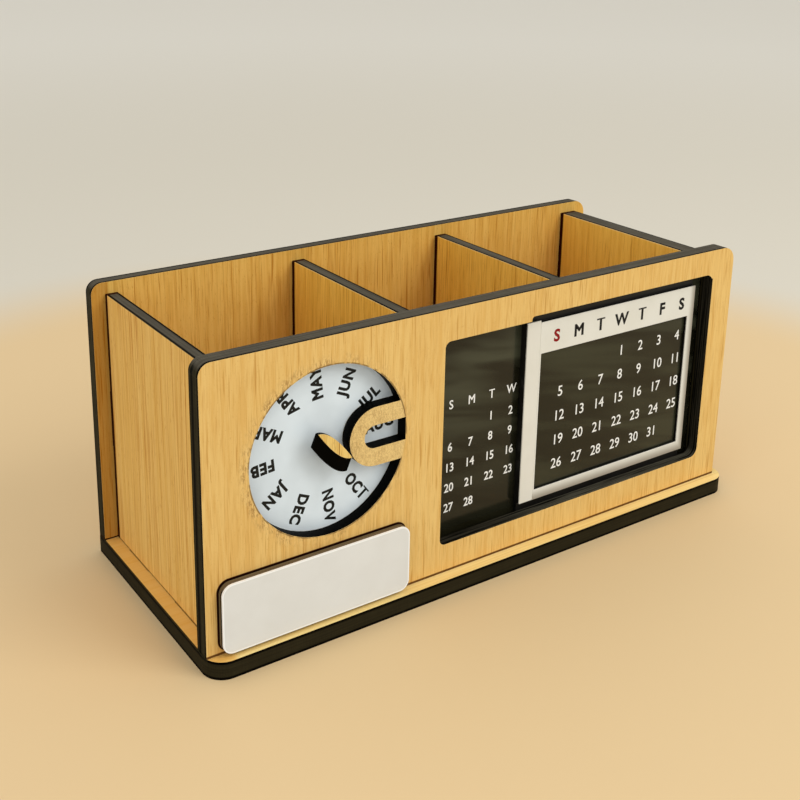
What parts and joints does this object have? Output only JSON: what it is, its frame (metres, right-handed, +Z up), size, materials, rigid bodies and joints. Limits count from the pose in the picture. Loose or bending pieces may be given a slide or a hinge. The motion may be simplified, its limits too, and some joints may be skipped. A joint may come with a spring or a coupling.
{
  "type": "desk organiser with calendar",
  "caption": "Desk pen organiser of veneered board with three open compartments, a turning month dial with a leaf-shaped knob and a sliding calendar window in its front wall.",
  "frame": {"origin": "middle of the underside's bounding box, on the surface it stands on", "axes": "+X along the front wall to its right end, +Y from the front wall to the back board, +Z up"},
  "size_m": [0.2238, 0.089, 0.1],
  "materials": {
    "veneer_front": "satin, light vertical-grained veneer with dark burnt edges",
    "veneer_side": "satin, warm vertical-grained veneer with dark burnt edges",
    "board_core": "matt fibreboard with burnt edges",
    "black_gloss": "glossy black acrylic",
    "black_plastic": "satin black plastic",
    "dial_white": "satin silver-white",
    "off_white": "satin off-white plastic",
    "steel": "zinc-plated steel"
  },
  "bodies": {
    "case": {"base_plate": "veneer_front", "front_panel": "veneer_front", "spacer_board": "board_core", "carrier_board": "board_core", "date_plate": "black_gloss", "rear_cover": "veneer_side", "left_end_panel": "veneer_side", "right_end_panel": "veneer_side", "left_divider": "veneer_side", "right_divider": "veneer_side", "back_panel": "veneer_front", "plaque_board": "board_core", "plaque_face": "off_white"},
    "dial": {"dial_disc": "dial_white", "dial_stem": "black_plastic", "knob_base": "black_plastic", "knob_leaf": "veneer_front", "pivot_washer": "steel", "pivot_screw": "steel"},
    "slider": {"slider_carriage": "black_plastic", "date_card": "black_gloss", "slider_bezel": "off_white", "grip_strip": "off_white"}
  },
  "joints": [
    {"name": "dial_turn", "type": "hinge", "parent": "case", "child": "dial", "pos_m": [-0.06875, -0.0349, 0.0622], "axis": [0, 1, 0], "continuous": true},
    {"name": "slider_travel", "type": "slide", "parent": "case", "child": "slider", "axis": [1, 0, 0], "range_m": [-0.0364, 0.0053]}
  ]
}
